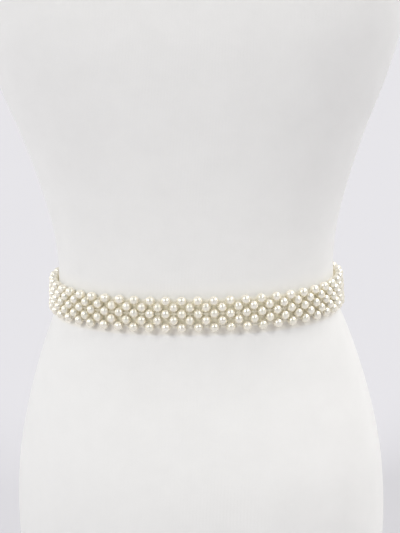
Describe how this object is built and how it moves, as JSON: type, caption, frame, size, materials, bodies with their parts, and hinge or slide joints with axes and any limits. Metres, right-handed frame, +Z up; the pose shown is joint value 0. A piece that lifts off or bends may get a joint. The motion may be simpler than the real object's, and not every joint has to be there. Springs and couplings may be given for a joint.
{
  "type": "pearl belt on a dress form",
  "caption": "Stretch belt of pearls strung as an open staggered net, worn low round the waist of a smooth limbless dress form with a flat base.",
  "frame": {"origin": "middle of the form's flat base, at the centre of the bounding box in X and Y", "axes": "+Z up, -Y the side of the form that the picture shows (its back), +X to the right in the picture"},
  "size_m": [0.377, 0.2756, 0.77],
  "materials": {
    "form_cover": "off-white fine jersey, matte",
    "pearl": "ivory pearl, soft gloss"
  },
  "bodies": {
    "root": {"dress_form": "form_cover", "pearl_net_back": "pearl", "pearl_net_front": "pearl"}
  },
  "joints": []
}
